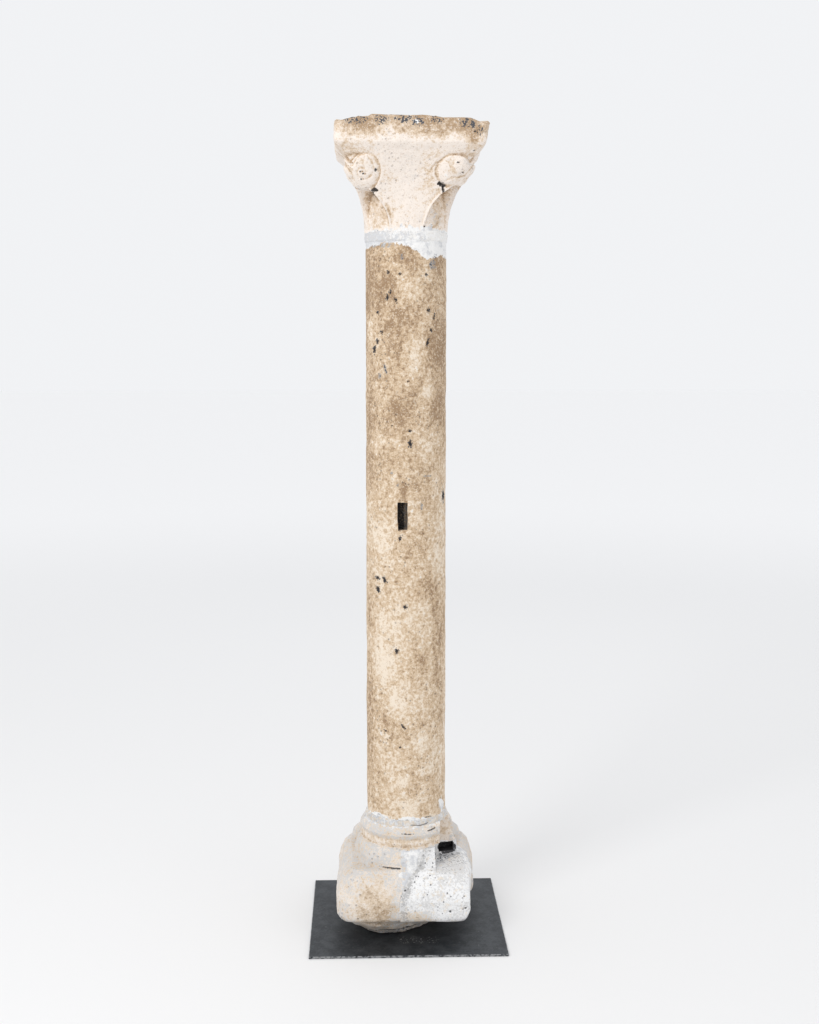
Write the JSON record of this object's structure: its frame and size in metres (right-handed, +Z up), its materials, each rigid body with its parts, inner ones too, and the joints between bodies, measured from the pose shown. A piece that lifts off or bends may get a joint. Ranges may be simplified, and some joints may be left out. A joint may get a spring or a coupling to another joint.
{
  "type": "medieval cloister column",
  "caption": "Worn limestone column with a plain round shaft, a leaf capital with curled corners, a moulded base mended in plaster, and a steel foot plate.",
  "frame": {"origin": "centre of the underside of the steel foot plate, on the floor", "axes": "+Z up the shaft, -Y out of the front with the mortise, +X to the right"},
  "size_m": [0.457, 0.457, 1.923],
  "materials": {
    "limestone": "weathered tan limestone, pitted and patchy",
    "pale_limestone": "worn cream limestone with lichen and grey dirt",
    "lime_mortar": "rough pale grey lime mortar",
    "white_plaster": "chalky white repair plaster with air pits",
    "dark_steel": "blackened, waxed steel plate with bright worn edges"
  },
  "bodies": {
    "root": {"capital_stone": "pale_limestone", "neck_mortar_bed": "lime_mortar", "shaft_stone": "limestone", "foot_mortar_bed": "lime_mortar", "base_stone": "pale_limestone", "base_plaster_corner": "white_plaster", "steel_foot_plate": "dark_steel"}
  },
  "joints": []
}
